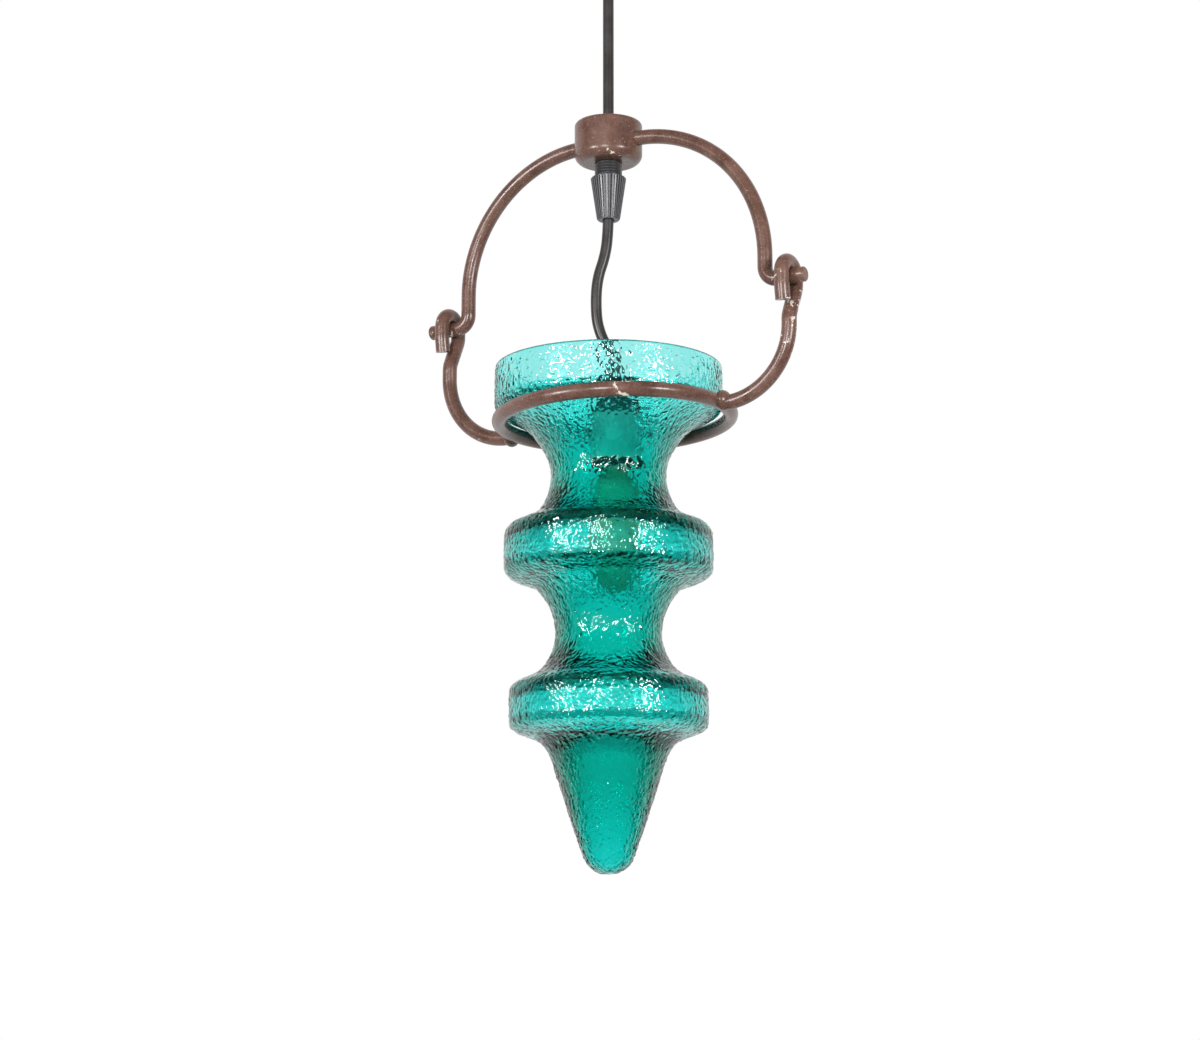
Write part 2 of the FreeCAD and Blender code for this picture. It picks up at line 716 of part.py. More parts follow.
def make_lower_cord():
    """The slack cord from the grip down to the lampholder."""
    turn = math.radians(SLACK_PLANE)
    points = []
    for sideways, height in SLACK_ROUTE:
        points.append(V(sideways * math.cos(turn), sideways * math.sin(turn), height))
    points[-1] = V(mm("holder_x"), 0, mm("cord_end_z"))
    points[-2] = V(mm("holder_x"), 0, points[-2].z)
    radii = route_radii(points)
    print("lower cord radii, mm:", [round(r, 1) for r in radii])
    edges = rounded_wire(points, radii)
    print("lower cord length, mm:", round(sum(e.Length for e in edges), 1))
    print("lower cord route, mm from the ceiling:",
          [[round(p.x, 2), round(p.y, 2), round(row_z(p.z), 2)] for p in points])
    shape_part("lower_cord", sweep(edges, mm("cord_radius")))


# ---- the yoke ----

def make_yoke_rod(label, side, leg, peg):
    """One half of the arch: out of the boss, round, down and out again as a peg."""
    points = [V(side * mm("rod_socket_x"), 0, mm("arch_z")), V(side * leg, 0, mm("arch_z")),
              V(side * leg, 0, 0), V(side * peg, 0, 0)]
    edges = rounded_wire(points, [leg - mm("arch_straight_x"), mm("peg_bend")])
    rod = sweep(edges, mm("rod_radius"))
    tip = [e for e in rod.Edges if abs(abs(e.BoundBox.Center.x) - peg) < 1e-3
           and e.BoundBox.XLength < 1e-3]
    shape_part(label, rod.makeFillet(1.0, tip))


# ---- the cradle ----

def ring_placement():
    """Where the cradle's ring lies and how it leans."""
    lean = FreeCAD.Rotation(V(0, 1, 0), mm("ring_tilt"))
    return FreeCAD.Placement(V(mm("ring_x"), 0, mm("ring_z")), lean)


def make_support_ring():
    """The round ring that the glass hangs in."""
    ring = doc.addObject("Part::Torus", "support_ring")
    ring.Label = "support_ring"
    ring.setExpression("Radius1", "Sizes.ring_radius")
    ring.setExpression("Radius2", "Sizes.rod_radius")
    where = ring_placement()
    where.Base.z = row_z(where.Base.z)
    ring.Placement = where
    ring.setExpression(".Placement.Base.x", "Sizes.ring_x")
    ring.setExpression(".Placement.Base.z", row_z(size("ring_z")).text)
    nodes["support_ring"] = ring


def ring_side(side):
    """The middle of the ring's rod on one side."""
    return ring_placement().multVec(V(side * mm("ring_radius"), 0, 0))


def make_cradle_arm(label, side, reach, foot_z):
    """One arm: out from the ring, up, and over the peg as a hook."""
    start_x = side * (abs(ring_side(side).x) + mm("rod_radius") - 1.2)
    x = side * reach
    back = mm("hook_radius")
    points = [V(start_x, 0, foot_z), V(x, 0, foot_z), V(x, 0, mm("hook_crank_low_z")),
              V(x, back, mm("hook_crank_high_z")), V(x, back, 0)]
    bend = min(mm("arm_bend"), abs(x - start_x) - 0.5)
    edges = rounded_wire(points, [bend, mm("hook_crank_bend"), mm("hook_crank_bend")])
    edges.append(Part.Arc(V(x, back, 0), V(x, 0, back), V(x, -back, 0)).toShape())
    end = [V(x, -back, 0), V(x, -back, -6.5), V(x, mm("hook_end_y"), mm("hook_end_z"))]
    edges += rounded_wire(end, [12.0])
    arm = sweep(edges, mm("rod_radius"))
    ring = Part.makeTorus(mm("ring_radius"), mm("rod_radius"))
    ring.Placement = ring_placement()
    arm = arm.cut(ring)
    shape_part(label, arm)
    return arm, ring


def make_welds(arms):
    """The two weld beads that join the arms to the ring."""
    beads = []
    for side, (arm, ring) in arms:
        spot = ring_side(side)
        centre = V(spot.x + side * mm("rod_radius") * 0.95, 0, spot.z - 0.3)
        squeeze = FreeCAD.Matrix()
        squeeze.scale(0.62, 0.98, 0.86)
        bead = Part.makeSphere(mm("weld_radius")).transformGeometry(squeeze)
        bead.translate(centre)
        bead = bead.cut(arm).cut(ring)
        solids = sorted(bead.Solids, key=lambda s: s.Volume)
        beads.append(solids[-1])
    shape_part("arm_welds", Part.makeCompound(beads))


# ---- the glass ----

def smooth_curve(points):
    """One smooth curve through (radius, height) points in the XZ plane of a sketch."""
    curve = Part.BSplineCurve()
    curve.interpolate([V(r, z, 0) for r, z in points])
    return curve


def make_glass_shade():
    """The blown glass shade: three flanges, two waists and a pointed end."""
    body = new_body("glass_shade")
    sketch = new_sketch(body, "glass_outline", "XZ_Plane")
    rim = mm("rim_radius")
    lip = mm("rim_wall") / 2
    top = mm("rim_top_z")
    middle = rim - lip
    sketch.addGeometry(Part.Arc(V(middle - lip, top - lip, 0), V(middle, top, 0),
                                V(rim, top - lip, 0)), False)
    ends = [(rim, top - lip)]
    for stretch in GLASS_OUTSIDE + GLASS_INSIDE:
        sketch.addGeometry(Part.LineSegment(V(ends[-1][0], ends[-1][1], 0),
                                            V(stretch[0][0], stretch[0][1], 0)), False)
        sketch.addGeometry(smooth_curve(stretch), False)
        ends.append(stretch[-1])
    sketch.addGeometry(Part.LineSegment(V(ends[-1][0], ends[-1][1], 0),
                                        V(middle - lip, top - lip, 0)), False)
    doc.recompute()
    revolve(body, sketch)
    place(body, z=-size("ceiling_drop"))
    doc.recompute()


# ---- the lampholder and the bulb ----

def make_holder():
    """The lampholder: cord entry, domed cap, skirt, threaded shell and centre contact."""
    axis = size("holder_x")
    entry = size("entry_radius")
    cord = size("cord_radius") + 0.1
    turned_part("holder_entry", [
        (1.2, size("cap_top_z")), (entry, size("cap_top_z")), (entry, size("entry_top_z") - 1.0),
        (entry - 1.0, size("entry_top_z")), (cord + 0.2, size("entry_top_z")),
        (cord + 0.2, size("entry_floor_z")), (1.2, size("entry_floor_z"))], x=axis)
    turned_part("holder_cap", [
        (cord, size("cap_top_z") - 0.05), (entry + 1.8, size("cap_top_z") - 0.05),
        (size("cap_radius") - 1.2, size("cap_edge_z") + 3.2), (size("cap_radius"), size("cap_edge_z")),
        (size("cap_radius"), size("cap_low_z")), (size("cap_radius") - 1.6, size("cap_low_z")),
        (size("cap_radius") - 1.6, size("cap_edge_z") + 0.4),
        (size("cap_radius") - 3.6, size("cap_edge_z") + 3.0), (cord, size("cap_top_z") - 2.0)],
        x=axis)
    inner = size("body_radius") - size("body_wall")
    top = size("cap_low_z") - 0.05
    turned_part("holder_body", [
        (size("body_radius") - 0.6, top), (size("body_radius"), top - 0.6),
        (size("body_radius"), size("body_low_z") + 2.6),
        (size("body_radius") + 0.6, size("body_low_z") + 2.0),
        (size("body_radius") + 0.6, size("body_low_z") + 0.5), (size("body_radius"), size("body_low_z")),
        (inner, size("body_low_z")), (inner, size("web_low_z")),
        (3.0, size("web_low_z")), (3.0, size("web_top_z")),
        (inner, size("web_top_z")), (inner, top)], x=axis)
    shell = size("shell_inner_radius")
    outer = shell + size("shell_wall")
    shell_top = size("web_low_z") - 0.05
    turned_part("holder_shell", [
        (5.0, shell_top), (outer, shell_top), (outer, size("shell_low_z") + 0.6),
        (outer + 0.7, size("shell_low_z")), (shell, size("shell_low_z")),
        (shell, shell_top - size("shell_wall")), (5.0, shell_top - size("shell_wall"))], x=axis)
    turned_part("holder_contact", [
        (0, size("web_top_z") + 0.8), (size("contact_radius") + 1.6, size("web_top_z") + 0.8),
        (size("contact_radius") + 1.6, size("web_top_z") + 0.05),
        (size("contact_radius"), size("web_top_z") + 0.05), (size("contact_radius"), size("contact_low_z")),
        (0, size("contact_low_z"))], x=axis)


def make_bulb():
    """The small tubular bulb: contact tip, insulator, screw base and glass."""
    axis = size("holder_x")
    tip = size("tip_radius")
    turned_part("bulb_tip", [
        (0, size("tip_top_z")), (tip * 0.6, size("tip_top_z")), (tip, size("tip_top_z") - 0.6),
        (tip, size("tip_low_z")), (0, size("tip_low_z"))], x=axis)
    base = size("base_radius")
    turned_part("bulb_insulator", [
        (0, size("tip_low_z") - 0.1), (tip + 0.6, size("tip_low_z") - 0.1),
        (base - 1.2, size("base_top_z") - 0.05), (base - 1.2, size("base_top_z") - 1.6),
        (0, size("base_top_z") - 1.6)], x=axis)
    corners = [(0, size("base_top_z") - 1.65), (base - 1.15, size("base_top_z") - 1.65),
               (base - 0.7, size("base_top_z") - 1.65)]
    pitch = 2.82
    for turn in range(4):
        crest = size("base_top_z") - (2.7 + turn * pitch)
        corners += [(base, crest), (base, crest - 0.7), (base - 0.75, crest - 1.5)]
    corners += [(base, size("base_low_z") + 1.2), (base, size("base_low_z")), (0, size("base_low_z"))]
    turned_part("bulb_base", corners, x=axis)
    body = new_body("bulb_glass")
    sketch = new_sketch(body, "bulb_outline", "XZ_Plane")
    neck = mm("bulb_neck_radius")
    wide = mm("bulb_radius")
    start = mm("base_low_z") - 0.05
    shoulder = mm("bulb_shoulder_z")
    dome = mm("bulb_dome_z")
    end = mm("bulb_end_z")
    wall = mm("bulb_wall")
    draw_bulb_line(sketch, neck, wide, start, shoulder, dome, end, 0.0)
    draw_bulb_line(sketch, neck, wide, start, shoulder, dome, end, wall)
    sketch.addGeometry(Part.LineSegment(V(neck - wall, start, 0), V(neck, start, 0)), False)
    sketch.addGeometry(Part.LineSegment(V(0, end, 0), V(0, end + wall, 0)), False)
    doc.recompute()
    revolve(body, sketch)
    place(body, x=axis, z=-size("ceiling_drop"))
    doc.recompute()


def draw_bulb_line(sketch, neck, wide, start, shoulder, dome, end, wall):
    """One side of the bulb's glass: neck, shoulder, straight tube and domed end."""
    curve = smooth_curve([(neck - wall, start), (neck + 0.5 - wall, start - 2.4),
                          (wide - 2.0 - wall, shoulder + 1.8), (wide - 0.4 - wall, shoulder - 1.6),
                          (wide - wall, shoulder - 5.0)])
    sketch.addGeometry(curve, False)
    sketch.addGeometry(Part.LineSegment(V(wide - wall, shoulder - 5.0, 0),
                                        V(wide - wall, dome, 0)), False)
    rise = dome - end - wall
    round_r = wide - wall
    half = math.radians(45)
    middle = V(round_r * math.cos(half), dome - rise * math.sin(half), 0)
    sketch.addGeometry(Part.Arc(V(round_r, dome, 0), middle, V(0, end + wall, 0)), False)


def check_and_export():
    """Stop on any bad object, then write each sub-part to its own file."""
    doc.recompute()
    for item in doc.Objects:
        if "Invalid" in item.State or "Error" in item.State:
            raise ValueError("%s is %s" % (item.Label, item.State))
    os.makedirs("parts", exist_ok=True)
    for label, item in nodes.items():
        shape = item.Shape
        if shape.isNull() or not shape.isValid() or not shape.Solids:
            raise ValueError(label + " has no valid solid")
        shape.exportStep("parts/%s.step" % label)
        box = shape.BoundBox
        print("%-18s solids %d volume %9.1f z %8.2f %8.2f" % (
            label, len(shape.Solids), shape.Volume, box.ZMin, box.ZMax))


doc = FreeCAD.newDocument("pendant_lamp")
sheet = make_sheet(doc)
nodes = {}
make_ceiling_plate()
make_ceiling_cup()
make_cup_screws()
make_cup_nose()
make_cord_ball()
make_terminal_block()
doc.recompute()
make_terminal_screws()
make_supply_tail()
make_suspension_cord()
make_boss()
make_grip_nipple()
make_grip_olive()
make_grip_nut()
make_lower_cord()
make_yoke_rod("yoke_rod_left", -1, mm("leg_left_x"), mm("peg_left_x"))
make_yoke_rod("yoke_rod_right", 1, mm("leg_right_x"), mm("peg_right_x"))
make_support_ring()
left_arm = make_cradle_arm("cradle_arm_left", -1, mm("arm_left_x"), mm("arm_left_z"))
right_arm = make_cradle_arm("cradle_arm_right", 1, mm("arm_right_x"), mm("arm_right_z"))
make_welds([(-1, left_arm), (1, right_arm)])
make_glass_shade()
make_holder()
make_bulb()
check_and_export()
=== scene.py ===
"""The looks of a glass pendant lamp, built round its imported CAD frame."""
import math

import bmesh
import bpy
import numpy as np
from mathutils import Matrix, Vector


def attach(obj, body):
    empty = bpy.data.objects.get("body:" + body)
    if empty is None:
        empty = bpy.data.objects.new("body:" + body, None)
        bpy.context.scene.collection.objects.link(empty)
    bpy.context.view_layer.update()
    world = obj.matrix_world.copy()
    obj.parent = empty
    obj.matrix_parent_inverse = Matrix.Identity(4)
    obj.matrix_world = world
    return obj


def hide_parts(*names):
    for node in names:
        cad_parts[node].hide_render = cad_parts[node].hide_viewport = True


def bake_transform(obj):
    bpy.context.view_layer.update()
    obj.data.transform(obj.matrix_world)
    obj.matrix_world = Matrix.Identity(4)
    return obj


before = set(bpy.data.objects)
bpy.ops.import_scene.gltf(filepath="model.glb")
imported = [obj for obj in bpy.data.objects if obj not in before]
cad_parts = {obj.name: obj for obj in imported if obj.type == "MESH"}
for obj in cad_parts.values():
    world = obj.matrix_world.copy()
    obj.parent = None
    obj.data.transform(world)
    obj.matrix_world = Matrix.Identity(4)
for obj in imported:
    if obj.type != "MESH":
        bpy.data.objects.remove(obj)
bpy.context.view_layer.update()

HINGE_Z = -0.246  # the cradle's hinge line, below the ceiling
HINGE = Vector((0.0, 0.0, HINGE_Z))

# ---- camera ----
VIEW_TURN = math.radians(30.5)  # how far the hinge line is turned from facing the camera squarely
VIEW_TILT = math.radians(11.18)
VIEW_BACK = 1.410
VIEW_DROP = 0.3971
VIEW_SIDE = -0.0046
LENS = 81.0
SENSOR_WIDTH = 36.0
VIEW_RIGHT = Vector((math.cos(VIEW_TURN), math.sin(VIEW_TURN), 0))
VIEW_AWAY = Vector((-math.sin(VIEW_TURN), math.cos(VIEW_TURN), 0))


def view_point(side, back, height):
    """A point sideways, towards the camera and up from the hinge line's middle."""
    return HINGE + VIEW_RIGHT * side - VIEW_AWAY * back + Vector((0, 0, height))


def aim(thing, target):
    """Turn a camera or a light to face a point."""
    thing.rotation_euler = (target - thing.location).to_track_quat("-Z", "Y").to_euler()


def make_camera():
    """The camera at the lamp's viewing angle, looking up at it from below the rim."""
    data = bpy.data.cameras.new("camera")
    data.lens = LENS
    data.sensor_width = SENSOR_WIDTH
    data.clip_start = 0.05
    data.clip_end = 30.0
    camera = bpy.data.objects.new("camera", data)
    bpy.context.scene.collection.objects.link(camera)
    camera.location = view_point(VIEW_SIDE, VIEW_BACK, -VIEW_DROP)
    ahead = VIEW_AWAY * math.cos(VIEW_TILT) + Vector((0, 0, math.sin(VIEW_TILT)))
    camera.rotation_euler = ahead.to_track_quat("-Z", "Y").to_euler()
    bpy.context.scene.camera = camera


make_camera()

# ---- cords ----
CORD_RADIUS = 0.003
LOWER_ROUTE = [
    (0.0, 0.0, -0.193), (-0.00017, -0.0001, -0.205), (-0.00146, -0.00086, -0.218),
    (-0.00517, -0.00305, -0.231), (-0.00595, -0.0035, -0.245), (-0.005, -0.00294, -0.259),
    (0.00026, 0.00015, -0.272), (0.0043, 0.0, -0.2812), (0.0043, 0.0, -0.2904)]
UPPER_ROUTE = [(0.0, 0.0, -0.1548), (0.0, 0.0, -0.0618)]


def centreline(route):
    """The points along an open NURBS spline that follows a route."""
    data = bpy.data.curves.new("centreline", "CURVE")
    data.dimensions = "3D"
    spline = data.splines.new("NURBS")
    spline.points.add(len(route) - 1)
    for point, place in zip(spline.points, route):
        point.co = (*place, 1.0)
    spline.order_u = 3 if len(route) > 2 else 2
    spline.use_endpoint_u = True
    data.resolution_u = 12
    line = bpy.data.objects.new("centreline", data)
    bpy.context.scene.collection.objects.link(line)
    bpy.context.view_layer.update()
    mesh = bpy.data.meshes.new_from_object(line)
    places = [v.co.copy() for v in mesh.vertices]
    bpy.data.meshes.remove(mesh)
    bpy.data.objects.remove(line)
    return places


def tube_along(name, places, radius, around=20):
    """A closed round tube along points."""
    mesh = bmesh.new()
    rings = []
    side = Vector((1, 0, 0))
    for index, place in enumerate(places):
        before = places[max(index - 1, 0)]
        after = places[min(index + 1, len(places) - 1)]
        heading = (after - before).normalized()
        side = (side - heading * side.dot(heading)).normalized()
        other = heading.cross(side)
        ring = []
        for step in range(around):
            angle = 2 * math.pi * step / around
            out = side * math.cos(angle) + other * math.sin(angle)
            ring.append(mesh.verts.new(place + out * radius))
        rings.append(ring)
    for low, high in zip(rings, rings[1:]):
        for step in range(around):
            following = (step + 1) % around
            mesh.faces.new((low[step], low[following], high[following], high[step]))
    mesh.faces.new(list(reversed(rings[0])))
    mesh.faces.new(rings[-1])
    return mesh_object(name, mesh)


def mesh_object(name, mesh, smooth=True):
    """Turn a bmesh into an object in the scene."""
    bmesh.ops.recalc_face_normals(mesh, faces=mesh.faces)
    data = bpy.data.meshes.new(name)
    mesh.to_mesh(data)
    mesh.free()
    if smooth:
        data.polygons.foreach_set("use_smooth", [True] * len(data.polygons))
    thing = bpy.data.objects.new(name, data)
    bpy.context.scene.collection.objects.link(thing)
    return thing


def node_object(name):
    """The Blender object of a CAD node."""
    return bpy.data.objects[name]


lower_places = centreline(LOWER_ROUTE)
lower_cord = tube_along("lower_cord_sheath", lower_places, CORD_RADIUS)
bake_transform(lower_cord)
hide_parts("lower_cord")

upper_places = centreline(UPPER_ROUTE)
upper_cord = tube_along("suspension_cord_sheath", upper_places, CORD_RADIUS)
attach(upper_cord, "cord")
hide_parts("suspension_cord")

# ---- materials ----


def material(name):
    """A new node material and its principled shader."""
    made = bpy.data.materials.new(name)
    made.use_nodes = True
    return made, made.node_tree, made.node_tree.nodes["Principled BSDF"]


def add(tree, kind, **sockets):
    """A new node with some of its inputs or properties set."""
    node = tree.nodes.new(kind)
    for key, value in sockets.items():
        if key in node.inputs:
            node.inputs[key].default_value = value
        else:
            setattr(node, key, value)
    return node


def ramp(tree, source, stops):
    """A colour ramp over a value."""
    node = tree.nodes.new("ShaderNodeValToRGB")
    bands = node.color_ramp.elements
    while len(bands) > 1:
        bands.remove(bands[-1])
    bands[0].position, bands[0].color = stops[0][0], (*stops[0][1], 1)
    for position, colour in stops[1:]:
        band = bands.new(position)
        band.color = (*colour, 1)
    tree.links.new(source, node.inputs["Fac"])
    return node


def object_place(tree, scale=(1, 1, 1)):
    """Object coordinates, stretched."""
    place = tree.nodes.new("ShaderNodeTexCoord")
    mapping = tree.nodes.new("ShaderNodeMapping")
    mapping.inputs["Scale"].default_value = scale
    tree.links.new(place.outputs["Object"], mapping.inputs["Vector"])
    return mapping.outputs["Vector"]


def noise_field(tree, place, scale, detail=2.0, rough=0.5, distort=0.0):
    """A noise texture's value."""
    node = add(tree, "ShaderNodeTexNoise", Scale=scale, Detail=detail, Roughness=rough,
               Distortion=distort)
    tree.links.new(place, node.inputs["Vector"])
    return node.outputs["Fac"]


def mix_colour(tree, factor, first, second):
    """Two colours or colour sockets mixed by a factor socket."""
    node = tree.nodes.new("ShaderNodeMix")
    node.data_type = "RGBA"
    tree.links.new(factor, node.inputs["Factor"])
    for socket, value in ((node.inputs["A"], first), (node.inputs["B"], second)):
        if isinstance(value, tuple):
            socket.default_value = (*value, 1)
        else:
            tree.links.new(value, socket)
    return node.outputs["Result"]


def half_scale(tree, source):
    """A value from -1 to 1 brought to 0 to 1."""
    node = add(tree, "ShaderNodeMath", operation="MULTIPLY_ADD")
    tree.links.new(source, node.inputs[0])
    node.inputs[1].default_value = 0.5
    node.inputs[2].default_value = 0.5
    return node.outputs[0]


def bump(tree, shader, height, strength, distance):
    """Bump from a height socket into a shader's normal."""
    node = add(tree, "ShaderNodeBump", Strength=strength, Distance=distance)
    tree.links.new(height, node.inputs["Height"])
    tree.links.new(node.outputs["Normal"], shader.inputs["Normal"])
    return node


GLASS_DENSITY = 520.0
GLASS_TINT = (0.0, 0.913, 0.885)
GLASS_ROUGHNESS = 0.012
GLASS_IOR = 1.5


def glass_material():
    """Turquoise blown glass, tinted through its depth, with a fine grain over the pebbling."""
    made, tree, shader = material("teal_glass")
    tree.nodes.remove(shader)
    out = tree.nodes["Material Output"]
    glass = add(tree, "ShaderNodeBsdfGlass", Roughness=GLASS_ROUGHNESS, IOR=GLASS_IOR)
    glass.inputs["Color"].default_value = (1, 1, 1, 1)
    tint = add(tree, "ShaderNodeVolumeAbsorption", Density=GLASS_DENSITY)
    tint.inputs["Color"].default_value = (*GLASS_TINT, 1)
    tree.links.new(glass.outputs["BSDF"], out.inputs["Surface"])
    tree.links.new(tint.outputs["Volume"], out.inputs["Volume"])
    bump(tree, glass, noise_field(tree, object_place(tree), 500.0, 1.0, 0.5), 0.6, 0.0003)
    return made


# Where the paint is chipped most: a place on the iron and how far round it the chips go.
WORN_PLACES = [((0.0355, -0.0555, -0.3065), 0.020), ((0.1090, -0.003, -0.268), 0.034),
               ((0.0140, -0.0130, -0.164), 0.010), ((-0.1050, -0.006, -0.250), 0.012)]
WORN_BOOST = 0.13
DARK_BROWN = (0.074, 0.034, 0.025)
LIGHT_BROWN = (0.150, 0.078, 0.058)
# pale fleck colour: partly painted glints of light, partly rubbed paint
GLINT_AND_RUBBED_BROWN = (0.30, 0.20, 0.16)
BARE_PRIMER = (0.62, 0.55, 0.48)


def nearness(tree, place, centre, reach):
    """One at a centre, falling to nought at its reach."""
    gap = add(tree, "ShaderNodeVectorMath", operation="DISTANCE")
    tree.links.new(place, gap.inputs[0])
    gap.inputs[1].default_value = centre
    spread = add(tree, "ShaderNodeMapRange")
    spread.inputs["From Min"].default_value = reach
    spread.inputs["From Max"].default_value = reach * 0.3
    tree.links.new(gap.outputs["Value"], spread.inputs["Value"])
    return spread.outputs["Result"]


def paint_material():
    """Brown paint on wrought iron: semi-gloss, speckled with pale flecks that are partly painted
    glints and partly rubbed paint, with pale chips.
    """
    made, tree, shader = material("brown_paint")
    place = object_place(tree)
    broad = noise_field(tree, place, 75.0, 5.0, 0.65)
    speck = noise_field(tree, place, 1100.0, 2.0, 0.6)
    base = ramp(tree, broad, [(0.32, DARK_BROWN), (0.68, LIGHT_BROWN)])
    # pale flecks over the paint: partly painted glints, partly rubbed paint
    glint_and_rubbed = ramp(tree, speck, [(0.62, (0, 0, 0)), (0.74, (1, 1, 1))])
    colour = mix_colour(tree, glint_and_rubbed.outputs["Color"], base.outputs["Color"], GLINT_AND_RUBBED_BROWN)
    chips = noise_field(tree, place, 190.0, 5.0, 0.65, 0.4)
    for centre, reach in WORN_PLACES:
        boost = add(tree, "ShaderNodeMath", operation="MULTIPLY_ADD")
        tree.links.new(nearness(tree, place, centre, reach), boost.inputs[0])
        boost.inputs[1].default_value = WORN_BOOST
        tree.links.new(chips, boost.inputs[2])
        chips = boost.outputs[0]
    chipped = ramp(tree, chips, [(0.71, (0, 0, 0)), (0.73, (1, 1, 1))])
    colour = mix_colour(tree, chipped.outputs["Color"], colour, BARE_PRIMER)
    tree.links.new(colour, shader.inputs["Base Color"])
    gloss = ramp(tree, broad, [(0.3, (0.20, 0.20, 0.20)), (0.7, (0.34, 0.34, 0.34))])
    tree.links.new(gloss.outputs["Color"], shader.inputs["Roughness"])
    bump(tree, shader, noise_field(tree, place, 380.0, 4.0, 0.6), 0.3, 0.0003)
    return made


def plastic_material(name, colour, rough, grain=700.0, strength=0.12):
    """Moulded plastic with a fine grain and slight unevenness in colour."""
    made, tree, shader = material(name)
    place = object_place(tree)
    broad = noise_field(tree, place, 90.0, 3.0)
    darker = tuple(c * 0.8 for c in colour)
    lighter = tuple(min(c * 1.2, 1) for c in colour)
    base = ramp(tree, broad, [(0.3, darker), (0.7, lighter)])
    tree.links.new(base.outputs["Color"], shader.inputs["Base Color"])
    shade = ramp(tree, broad, [(0.3, (rough * 0.85,) * 3), (0.7, (rough * 1.15,) * 3)])
    tree.links.new(shade.outputs["Color"], shader.inputs["Roughness"])
    bump(tree, shader, noise_field(tree, place, grain, 2.0), strength, 0.0002)
    return made


SKIRT_BAND_Z = -0.3340  # the lampholder's skirt is black below this height
BAND_COLOUR = (0.012, 0.012, 0.012)


def banded_material(name, colour, rough):
    """The lampholder's white porcelain with a black band round the skirt's lower edge."""
    made = plastic_material(name, colour, rough)
    tree = made.node_tree
    shader = tree.nodes["Principled BSDF"]
    plain = shader.inputs["Base Color"].links[0].from_socket
    split = tree.nodes.new("ShaderNodeSeparateXYZ")
    tree.links.new(object_place(tree), split.inputs["Vector"])
    above = add(tree, "ShaderNodeMath", operation="GREATER_THAN")
    tree.links.new(split.outputs["Z"], above.inputs[0])
    above.inputs[1].default_value = SKIRT_BAND_Z
    colour = mix_colour(tree, above.outputs[0], BAND_COLOUR, plain)
    tree.links.new(colour, shader.inputs["Base Color"])
    return made


RIBS = 36
# pale grey for the rib crests: partly painted highlight, partly dust
SHEEN_AND_DUST_GREY = (0.12, 0.12, 0.13)


def ribbed_material(name, colour, rough):
    """The cord grip's plastic, painted pale along its rib crests: partly a painted highlight,
    partly dust.
    """
    made = plastic_material(name, colour, rough)
    tree = made.node_tree
    shader = tree.nodes["Principled BSDF"]
    plain = shader.inputs["Base Color"].links[0].from_socket
    split = tree.nodes.new("ShaderNodeSeparateXYZ")
    tree.links.new(object_place(tree), split.inputs["Vector"])
    around = add(tree, "ShaderNodeMath", operation="ARCTAN2")
    tree.links.new(split.outputs["Y"], around.inputs[0])
    tree.links.new(split.outputs["X"], around.inputs[1])
    turns = add(tree, "ShaderNodeMath", operation="MULTIPLY")
    tree.links.new(around.outputs[0], turns.inputs[0])
    turns.inputs[1].default_value = RIBS
    wave = add(tree, "ShaderNodeMath", operation="COSINE")
    tree.links.new(turns.outputs[0], wave.inputs[0])
    # the rib crests are painted pale, partly as a painted highlight and partly as dust
    sheen_and_dust = ramp(tree, half_scale(tree, wave.outputs[0]), [(0.10, (1, 1, 1)), (0.55, (0, 0, 0))])
    colour = mix_colour(tree, sheen_and_dust.outputs["Color"], plain, SHEEN_AND_DUST_GREY)
    tree.links.new(colour, shader.inputs["Base Color"])
    return made


def metal_material(name, colour, rough, streak=(1, 1, 1)):
    """A plain metal with fine streaks and smudges."""
    made, tree, shader = material(name)
    shader.inputs["Metallic"].default_value = 1.0
    place = object_place(tree, streak)
    marks = noise_field(tree, place, 500.0, 4.0, 0.6)
    darker = tuple(c * 0.75 for c in colour)
    base = ramp(tree, marks, [(0.3, darker), (0.7, colour)])
    tree.links.new(base.outputs["Color"], shader.inputs["Base Color"])
    shade = ramp(tree, marks, [(0.3, (rough * 0.8,) * 3), (0.7, (rough * 1.3,) * 3)])
    tree.links.new(shade.outputs["Color"], shader.inputs["Roughness"])
    bump(tree, shader, marks, 0.1, 0.0001)
    return made


DARK_CREAM = (0.46, 0.41, 0.27)
LIGHT_CREAM = (0.54, 0.49, 0.34)


def bulb_material():
    """Opal bulb glass, satin cream."""
    made, tree, shader = material("opal_glass")
    place = object_place(tree)
    haze = noise_field(tree, place, 45.0, 2.0)
    base = ramp(tree, haze, [(0.3, DARK_CREAM), (0.7, LIGHT_CREAM)])
    tree.links.new(base.outputs["Color"], shader.inputs["Base Color"])
    shader.inputs["Roughness"].default_value = 0.25
    shader.inputs["Subsurface Weight"].default_value = 0.3
    shader.inputs["Subsurface Radius"].default_value = (0.004, 0.004, 0.004)
    shader.inputs["Coat Weight"].default_value = 0.4
    return made


